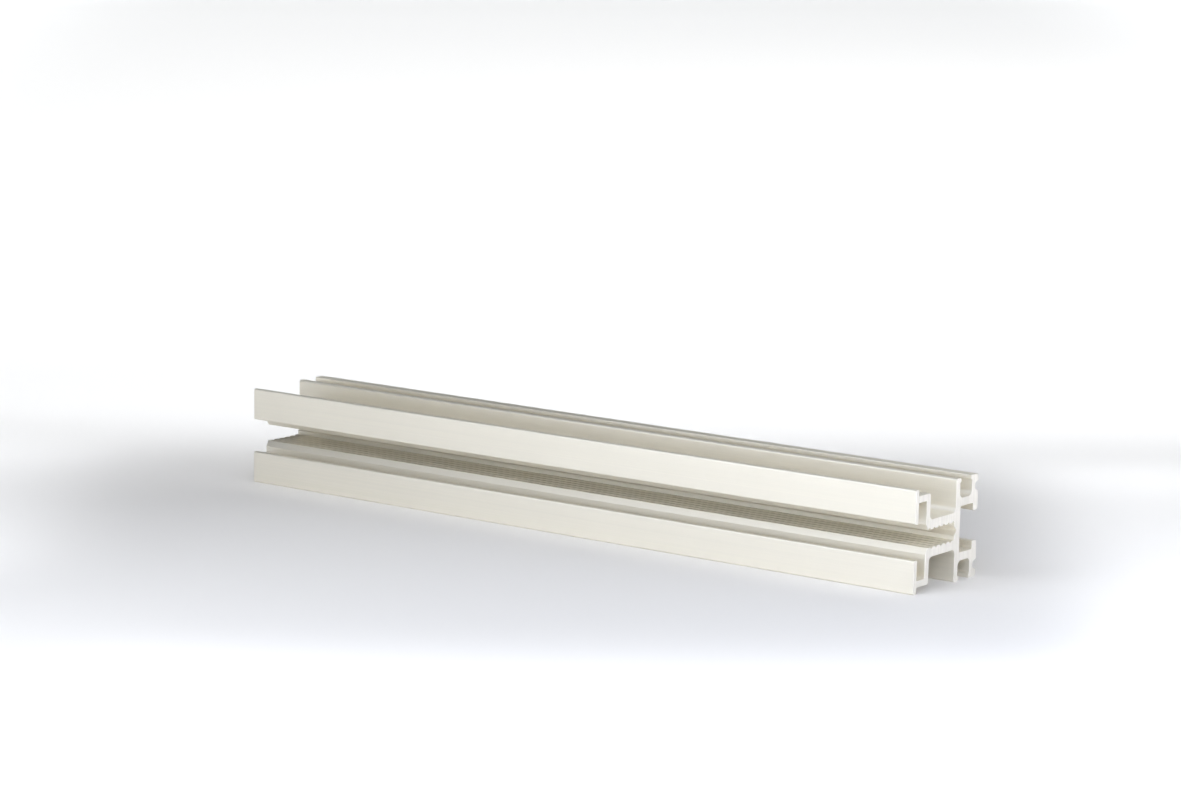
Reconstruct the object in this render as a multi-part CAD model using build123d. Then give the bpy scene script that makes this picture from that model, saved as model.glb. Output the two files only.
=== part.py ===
"""Aluminium extrusion profile: one sawn length of stock with the same section from end to end.

The section is symmetric about its mid-height. Two front plates flank a slot that widens into a
pocket behind each plate, then runs on between two ribbed flanges to a centring groove in the web.
Behind the web a T-slot opens to the rear, with a hollow above and below it for end screws.
The piece lies along X on its lower edges: front plates towards -Y, up along +Z, and its origin
is under the middle of the piece on the floor. Sizes are in millimetres.
"""
import os

from build123d import *

# The whole piece
length = 250.0
height = 30.6
depth = 34.5

# Front plates, and the short flanges that carry them
plate_thickness = 1.6
plate_gap = 10.5
plate_edge_radius = 0.5
short_flange_thickness = 2.0
plate_overhang = 1.95
pocket_depth = 4.4
pocket_corner_radius = 0.4
inner_wall_thickness = 2.0
inner_wall_corner_radius = 0.7

# Slot with ribbed sides
slot_width = 5.2
slot_depth = 21.7
lead_in_depth = 1.1
lead_in_height = 1.8
ribbed_flange_thickness = 2.9
rib_pitch = 2.6
rib_groove_depth = 0.45
rib_groove_mouth = 1.3
rib_groove_root = 0.5
rib_corner_radius = 0.15
upper_groove_start = 7.95
lower_groove_start = 9.25
centring_groove_depth = 1.3
centring_groove_mouth = 2.8
centring_groove_radius = 0.3

# Web across the whole height, and the channels in front of it
web_thickness = 2.5
slot_bottom_pad = 0.6
web_end_radius = 0.5
channel_corner_radius = 1.6

# T-slot in the rear
t_slot_mouth = 9.1
t_slot_inside = 13.7
t_slot_lip_thickness = 2.5
t_slot_corner_radius = 0.5
t_slot_lip_radius = 0.3

# Rear flanges, rear wall and the hollows they stand around
rear_flange_thickness = 2.5
rear_wall_thickness = 3.5
rear_wall_edge_radius = 0.9
hollow_undercut = 0.5
hollow_floor_radius = 1.6
hollow_lip_height = 1.3
hollow_lip_width = 0.6
hollow_lip_radius = 0.2

# Round groove along the outside of the rear wall
outer_groove_radius = 1.35
outer_groove_depth = 1.8
outer_groove_from_edge = 3.55
outer_groove_edge_radius = 0.35

# Lines of the section that several walls share
half_height = height / 2
slot_side = slot_width / 2
plate_inner_end = plate_gap / 2
short_flange_top = half_height - plate_overhang
short_flange_underside = short_flange_top - short_flange_thickness
inner_wall_front = plate_thickness + pocket_depth
inner_wall_back = inner_wall_front + inner_wall_thickness
channel_floor = slot_side + ribbed_flange_thickness
web_front = slot_depth + slot_bottom_pad
web_back = web_front + web_thickness
t_slot_side = t_slot_inside / 2
t_slot_lip_end = t_slot_mouth / 2
t_slot_lip_front = depth - t_slot_lip_thickness
hollow_floor = t_slot_side + rear_flange_thickness
hollow_front = web_back - hollow_undercut
hollow_back = depth - rear_wall_thickness
hollow_mouth_back = hollow_back - hollow_lip_width
hollow_lip_start = half_height - hollow_lip_height
outer_groove_height = half_height - outer_groove_from_edge
outer_groove_middle = depth - outer_groove_depth + outer_groove_radius
outer_groove_low = outer_groove_height - outer_groove_radius
outer_groove_high = outer_groove_height + outer_groove_radius


def wall(front, back, low, high):
    """A straight stretch of the section, from its front to its back and from low to high."""
    middle = Pos((front + back) / 2, (low + high) / 2)
    return middle * Rectangle(back - front, high - low)


def round_corners(section, radius, corners):
    """Round the corners of the section that stand at the given places."""
    chosen = []
    for point in section.vertices():
        place = point.center()
        if any((place - Vector(*corner)).length < 0.01 for corner in corners):
            chosen.append(point)
    return fillet(chosen, radius)


def walls_from_middle_up():
    """Every wall of the upper half, in order from the front plate to the rear wall."""
    walls = wall(0, plate_thickness, plate_inner_end, half_height)
    walls += wall(0, inner_wall_back, short_flange_underside, short_flange_top)
    walls += wall(inner_wall_front, inner_wall_back, slot_side, short_flange_top)
    walls += wall(inner_wall_front, web_back, slot_side, channel_floor)
    walls += wall(slot_depth, web_back, 0, channel_floor)
    walls += wall(web_front, web_back, 0, half_height)
    walls += wall(web_front, depth, t_slot_side, hollow_floor)
    walls += wall(hollow_back, depth, t_slot_side, half_height)
    walls += wall(hollow_mouth_back, depth, hollow_lip_start, half_height)
    walls += wall(t_slot_lip_front, depth, t_slot_lip_end, t_slot_side)
    return walls


def lead_in():
    """The slanted cut that leads a screw from behind the plates into the slot."""
    return make_face(
        Polyline(
            (inner_wall_front, slot_side),
            (inner_wall_front + lead_in_depth, slot_side),
            (inner_wall_front, slot_side + lead_in_height),
            close=True,
        )
    )


def groove_places(start):
    """Where the grooves stand: one each pitch, from the first to the last that the slot has room for."""
    room = slot_depth - start - rib_groove_mouth / 2
    count = int(room / rib_pitch) + 1
    return [start + number * rib_pitch for number in range(count)]


def rib_grooves(places):
    """The small grooves that leave ribs standing along one side of the slot."""
    grooves = Sketch()
    for place in places:
        grooves += make_face(
            Polyline(
                (place - rib_groove_mouth / 2, slot_side),
                (place - rib_groove_root / 2, slot_side + rib_groove_depth),
                (place + rib_groove_root / 2, slot_side + rib_groove_depth),
                (place + rib_groove_mouth / 2, slot_side),
                close=True,
            )
        )
    return grooves


def centring_groove():
    """The pointed groove in the web that centres a drill at the bottom of the slot."""
    return make_face(
        Polyline(
            (slot_depth, -centring_groove_mouth / 2),
            (slot_depth + centring_groove_depth, 0),
            (slot_depth, centring_groove_mouth / 2),
            close=True,
        )
    )


def hollow_side():
    """The shallow hollowing of the web's rear face, which stops short of the web's end."""
    return wall(hollow_front, web_back, hollow_floor, hollow_lip_start)


def outer_groove():
    """The round groove along the outside of the rear wall."""
    bottom = Pos(outer_groove_middle, outer_groove_height) * Circle(outer_groove_radius)
    return bottom + wall(outer_groove_middle, depth, outer_groove_low, outer_groove_high)


def half_section(places):
    """The section from mid-height up, with its corners rounded as the die leaves them."""
    half = walls_from_middle_up()
    half -= lead_in() + rib_grooves(places) + centring_groove()
    half -= hollow_side() + outer_groove()

    rib_corners = []
    for place in places:
        rib_corners.append((place - rib_groove_mouth / 2, slot_side))
        rib_corners.append((place + rib_groove_mouth / 2, slot_side))

    roundings = [
        (plate_edge_radius, [
            (0, half_height),
            (plate_thickness, half_height),
            (0, plate_inner_end),
            (plate_thickness, plate_inner_end),
        ]),
        (pocket_corner_radius, [
            (plate_thickness, short_flange_top),
            (plate_thickness, short_flange_underside),
            (inner_wall_front, short_flange_underside),
        ]),
        (inner_wall_corner_radius, [(inner_wall_back, short_flange_top)]),
        (rib_corner_radius, rib_corners),
        (channel_corner_radius, [(inner_wall_back, channel_floor), (web_front, channel_floor)]),
        (web_end_radius, [(web_front, half_height), (web_back, half_height)]),
        (t_slot_corner_radius, [(web_back, t_slot_side), (t_slot_lip_front, t_slot_side)]),
        (t_slot_lip_radius, [(t_slot_lip_front, t_slot_lip_end)]),
        (rear_wall_edge_radius, [(depth, t_slot_lip_end), (depth, half_height)]),
        (hollow_floor_radius, [(hollow_front, hollow_floor), (hollow_back, hollow_floor)]),
        (hollow_lip_radius, [
            (web_back, hollow_lip_start),
            (hollow_front, hollow_lip_start),
            (hollow_back, hollow_lip_start),
            (hollow_mouth_back, hollow_lip_start),
            (hollow_mouth_back, half_height),
        ]),
        (outer_groove_edge_radius, [(depth, outer_groove_low), (depth, outer_groove_high)]),
    ]
    for radius, corners in roundings:
        half = round_corners(half, radius, corners)
    return half


def profile():
    """The whole piece: both halves of the section, joined at mid-height and run out to length."""
    upper_half = half_section(groove_places(upper_groove_start))
    lower_half = half_section(groove_places(lower_groove_start))
    section = upper_half + mirror(lower_half, about=Plane.XZ)
    section = round_corners(section, centring_groove_radius, [(slot_depth + centring_groove_depth, 0)])
    stock = extrude(Plane.YZ * section, amount=length)
    return Pos(-length / 2, -depth / 2, half_height) * stock


os.makedirs("parts", exist_ok=True)
export_step(profile(), "parts/profile.step")
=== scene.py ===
import math

import bmesh
import bpy
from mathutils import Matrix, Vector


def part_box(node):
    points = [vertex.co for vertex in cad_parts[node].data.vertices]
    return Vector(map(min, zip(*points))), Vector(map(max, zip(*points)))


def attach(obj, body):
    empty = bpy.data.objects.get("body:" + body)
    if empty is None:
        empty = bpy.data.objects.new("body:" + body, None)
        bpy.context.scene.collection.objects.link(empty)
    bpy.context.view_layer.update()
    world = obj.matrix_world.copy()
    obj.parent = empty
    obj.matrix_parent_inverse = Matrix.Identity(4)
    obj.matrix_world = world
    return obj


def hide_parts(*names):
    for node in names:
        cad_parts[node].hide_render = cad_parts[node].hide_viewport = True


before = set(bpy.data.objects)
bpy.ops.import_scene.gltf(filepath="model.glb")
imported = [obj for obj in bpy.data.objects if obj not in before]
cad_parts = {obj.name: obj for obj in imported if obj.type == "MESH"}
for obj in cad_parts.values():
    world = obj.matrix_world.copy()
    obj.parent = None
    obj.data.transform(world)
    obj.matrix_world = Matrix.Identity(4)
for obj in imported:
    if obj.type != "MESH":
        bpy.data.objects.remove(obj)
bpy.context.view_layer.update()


# The extruded length, one piece of aluminium alloy pushed hot through a die and sawn square at
# both ends. Its shape is the solid's own, with the saw's sharp edges broken by a light deburring.
same_place = 1e-6
same_plane = math.radians(0.5)
sharp_edge = math.radians(30)
saw_edge_break = 0.00012
half_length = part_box("profile")[1][0]

stock = bmesh.new()
stock.from_mesh(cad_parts["profile"].data)
bmesh.ops.remove_doubles(stock, verts=stock.verts, dist=same_place)
bmesh.ops.dissolve_limit(stock, angle_limit=same_plane, verts=stock.verts, edges=stock.edges)


def at_distance(edge, distance):
    """Whether both ends of an edge are at a distance from the middle of the piece's length."""
    return all(abs(abs(vert.co.x) - distance) < same_place for vert in edge.verts)


sawn_edges = [
    edge for edge in stock.edges
    if at_distance(edge, half_length) and edge.verts[0].co.x * edge.verts[1].co.x > 0
]
bmesh.ops.bevel(
    stock, geom=sawn_edges, offset=saw_edge_break, segments=2, profile=0.5,
    affect="EDGES", material=-1, clamp_overlap=False,
)

# Each side stays flat right up to the line where the broken edge of an end begins.
for face in stock.faces:
    face.smooth = True
for edge in stock.edges:
    folded = edge.calc_face_angle(0.0) >= sharp_edge
    edge.smooth = not folded and not at_distance(edge, half_length - saw_edge_break)

stock_mesh = bpy.data.meshes.new("sawn_length")
stock.to_mesh(stock_mesh)
stock.free()
sawn_length = bpy.data.objects.new("sawn_length", stock_mesh)
bpy.context.collection.objects.link(sawn_length)
flat_sides = sawn_length.modifiers.new("flat_sides", "WEIGHTED_NORMAL")
flat_sides.keep_sharp = True
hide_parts("profile")
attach(sawn_length, "root")


# Its finish: etched and clear anodised to a satin silver over the die's fine straight lines. The
# two ends were sawn afterwards, so they are bare and show the saw's strokes instead.
satin_silver = (0.92, 0.874, 0.755, 1.0)
fresh_cut_silver = (0.97, 0.925, 0.83, 1.0)
bare_from = half_length - 1.05 * saw_edge_break
relief_depth = 0.00002

aluminium = bpy.data.materials.new("anodised_aluminium")
aluminium.use_nodes = True
nodes = aluminium.node_tree.nodes
links = aluminium.node_tree.links
nodes.clear()


def streaks(name, marks_per_metre, detail, roughness):
    """Noise drawn out along one axis: each mark comes from its place on the piece."""
    mapping = nodes.new("ShaderNodeMapping")
    mapping.name = name + "_place"
    mapping.inputs["Scale"].default_value = marks_per_metre
    noise = nodes.new("ShaderNodeTexNoise")
    noise.name = name
    noise.inputs["Scale"].default_value = 1.0
    noise.inputs["Detail"].default_value = detail
    noise.inputs["Roughness"].default_value = roughness
    links.new(place.outputs["Object"], mapping.inputs["Vector"])
    links.new(mapping.outputs["Vector"], noise.inputs["Vector"])
    return noise.outputs["Fac"]


def ramp(name, value, stops):
    """Turns a value into the tones given at its stops."""
    band = nodes.new("ShaderNodeValToRGB")
    band.name = name
    elements = band.color_ramp.elements
    elements[0].position, elements[0].color = stops[0][0], (*[stops[0][1]] * 3, 1)
    elements[1].position, elements[1].color = stops[-1][0], (*[stops[-1][1]] * 3, 1)
    for position, tone in stops[1:-1]:
        elements.new(position).color = (tone, tone, tone, 1)
    links.new(value, band.inputs["Fac"])
    return band.outputs["Color"]


def mix(kind, factor, first, second):
    """Blends two colours (RGBA) or two numbers (FLOAT) by a factor."""
    blend = nodes.new("ShaderNodeMix")
    blend.data_type = kind
    first_input, second_input, result = {"FLOAT": (2, 3, 0), "RGBA": (6, 7, 2)}[kind]
    for socket, value in ((0, factor), (first_input, first), (second_input, second)):
        if isinstance(value, bpy.types.NodeSocket):
            links.new(value, blend.inputs[socket])
        else:
            blend.inputs[socket].default_value = value
    return blend.outputs[result]


def tinted(name, tone, colour):
    """A tone multiplied by a colour."""
    tint = mix("RGBA", 1.0, tone, colour)
    tint.node.name = name
    tint.node.blend_type = "MULTIPLY"
    return tint


place = nodes.new("ShaderNodeTexCoord")
apart = nodes.new("ShaderNodeSeparateXYZ")
links.new(place.outputs["Object"], apart.inputs["Vector"])
from_middle = nodes.new("ShaderNodeMath")
from_middle.operation = "ABSOLUTE"
links.new(apart.outputs["X"], from_middle.inputs[0])
on_end = nodes.new("ShaderNodeMath")
on_end.operation = "GREATER_THAN"
on_end.inputs[1].default_value = bare_from
links.new(from_middle.outputs["Value"], on_end.inputs[0])
end_face = on_end.outputs["Value"]

die_lines = streaks("die_lines", (5.0, 2600.0, 2600.0), 4.0, 0.65)
broad_lines = streaks("broad_lines", (3.0, 420.0, 420.0), 2.0, 0.5)
saw_strokes = streaks("saw_strokes", (60.0, 1500.0, 45.0), 3.0, 0.6)

die_tone = ramp("die_tone", die_lines, [(0.3, 0.96), (0.7, 1.0)])
broad_tone = ramp("broad_tone", broad_lines, [(0.3, 0.98), (0.7, 1.0)])
saw_tone = ramp("saw_tone", saw_strokes, [(0.35, 0.9), (0.6, 0.96), (0.68, 1.0)])

side_colour = tinted("side_colour", tinted("line_tone", die_tone, broad_tone), satin_silver)
end_colour = tinted("end_colour", saw_tone, fresh_cut_silver)
colour = mix("RGBA", end_face, side_colour, end_colour)
side_roughness = ramp("side_roughness", die_lines, [(0.3, 0.45), (0.7, 0.55)])
end_roughness = ramp("end_roughness", saw_strokes, [(0.3, 0.55), (0.7, 0.45)])
roughness = mix("RGBA", end_face, side_roughness, end_roughness)

side_relief = mix("FLOAT", 0.35, die_lines, broad_lines)
relief = mix("FLOAT", end_face, side_relief, saw_strokes)
bump = nodes.new("ShaderNodeBump")
bump.inputs["Strength"].default_value = 0.25
bump.inputs["Distance"].default_value = relief_depth
links.new(relief, bump.inputs["Height"])

shader = nodes.new("ShaderNodeBsdfPrincipled")
shader.inputs["Metallic"].default_value = 0.7
links.new(colour, shader.inputs["Base Color"])
links.new(roughness, shader.inputs["Roughness"])
links.new(bump.outputs["Normal"], shader.inputs["Normal"])
surface = nodes.new("ShaderNodeOutputMaterial")
links.new(shader.outputs["BSDF"], surface.inputs["Surface"])
stock_mesh.materials.clear()
stock_mesh.materials.append(aluminium)


# The studio floor: a sheet of plain pale paper, matt and slightly warm, rolled out flat under the
# piece. It runs out past the picture on every side.
floor_width = 12.0
warm_white = (0.9, 0.875, 0.83, 1.0)

bpy.ops.mesh.primitive_plane_add(size=floor_width, location=(0, 0, 0))
floor = bpy.context.object
floor.name = "studio_floor"
paper = bpy.data.materials.new("pale_paper")
paper.use_nodes = True
paper_shader = paper.node_tree.nodes["Principled BSDF"]
paper_shader.inputs["Base Color"].default_value = warm_white
paper_shader.inputs["Roughness"].default_value = 0.9
paper_shader.inputs["Specular IOR Level"].default_value = 0.1
floor.data.materials.append(paper)


# Soft studio light: the room's own faint light, small soft boxes close to the near end, so that the
# light falls off towards the far end, and gridded boxes that whiten the paper all round the piece.
room_light = 0.05
daylight = (0.79, 0.85, 1.0)
pale_daylight = (0.89, 0.93, 1.0)
grid_angle = math.radians(40)
near_part = (0.1, 0.0, 0.015)
behind = (-0.5934, 0.8049)
across = (0.8049, 0.5934)

room = bpy.data.worlds.new("room")
room.use_nodes = True
room.node_tree.nodes["Background"].inputs["Color"].default_value = (1.0, 1.0, 1.0, 1.0)
room.node_tree.nodes["Background"].inputs["Strength"].default_value = room_light
bpy.context.scene.world = room


def soft_box(name, place, aim, width, height, power, colour=(1.0, 1.0, 1.0)):
    """A flat soft box that stands at a place and faces a point."""
    light = bpy.data.lights.new(name, "AREA")
    light.shape = "RECTANGLE"
    light.size = width
    light.size_y = height
    light.energy = power
    light.color = colour
    box = bpy.data.objects.new(name, light)
    bpy.context.collection.objects.link(box)
    box.location = place
    away = box.location - Vector(aim)
    box.rotation_euler = away.to_track_quat("Z", "Y").to_euler()
    box.visible_camera = False
    return box


def paper_box(name, distance, sideways, above, width, length, power):
    """A box that faces down on the paper near the piece; its grid keeps its light off the piece."""
    centre = [behind[i] * distance + across[i] * sideways for i in (0, 1)]
    lean = 0.02 * above
    aim = (centre[0] + behind[0] * lean, centre[1] + behind[1] * lean, 0)
    box = soft_box(name, (*centre, above), aim, width, length, power, pale_daylight)
    box.data.spread = grid_angle


soft_box("front_left_box", (-0.1, -0.346, 0.145), near_part, 0.24, 0.22, 0.473, pale_daylight)
soft_box("front_right_box", (0.3, -0.346, 0.145), near_part, 0.24, 0.22, 0.299, daylight)
soft_box("high_left_box", (-0.035, -0.234, 0.337), near_part, 0.24, 0.24, 0.317, daylight)
soft_box("high_right_box", (0.278, -0.309, 0.238), near_part, 0.24, 0.22, 0.257, daylight)
soft_box("low_front_box", (0.1, -0.448, 0.054), near_part, 0.24, 0.1, 0.181, daylight)
soft_box("low_right_box", (0.324, -0.388, 0.054), near_part, 0.24, 0.1, 0.196, daylight)
soft_box("low_end_box", (0.488, -0.224, 0.062), near_part, 0.24, 0.1, 0.249, daylight)
soft_box("near_end_box", (0.351, -0.067, 0.165), near_part, 0.16, 0.16, 0.273, daylight)
soft_box("end_box", (0.508, 0.0, 0.117), near_part, 0.24, 0.2, 0.55, daylight)
soft_box("rear_box", (0.0, 1.226, 1.028), (0, 0, 0), 1.4, 1.2, 5.278)
paper_box("close_paper_box", 0.36, 0, 0.3, 1.2, 0.5, 1.508)
paper_box("far_paper_box", 1.55, 0, 0.8, 2.0, 2.2, 13.132)
paper_box("left_paper_box", 0.02, -0.31, 0.12, 0.28, 0.2, 0.065)
paper_box("right_paper_box", -0.055, 0.3, 0.12, 0.32, 0.33, 0.166)
paper_box("near_paper_box", -0.24, 0.03, 0.12, 0.34, 0.14, 0.042)
paper_box("front_paper_box", -1.5, 0, 0.8, 2.4, 2.0, 14.326)
paper_box("left_side_paper_box", 0, -1.575, 0.8, 1.95, 5.2, 30.26)
paper_box("right_side_paper_box", 0, 1.575, 0.8, 1.95, 5.2, 30.26)
overhead_box = soft_box("overhead_box", (-0.6, 0.9, 2.0), (-0.6, 0.9, 0), 5.0, 5.0, 9.425)
overhead_box.data.spread = grid_angle


# The camera looks along the length from the front right and a little above, through a long lens.
# It stands where the photograph's camera stood, level but for a slight roll.
lens = bpy.data.cameras.new("camera")
lens.sensor_width = 36.0
lens.lens = 115.67
lens.clip_start = 0.01
camera = bpy.data.objects.new("camera", lens)
bpy.context.collection.objects.link(camera)
camera.location = (0.67504, -0.92511, 0.24226)
camera.rotation_euler = (math.radians(80.048), math.radians(-1.015), math.radians(36.422))
bpy.context.scene.camera = camera

bpy.context.scene.view_settings.view_transform = "Standard"
bpy.context.scene.view_settings.look = "None"
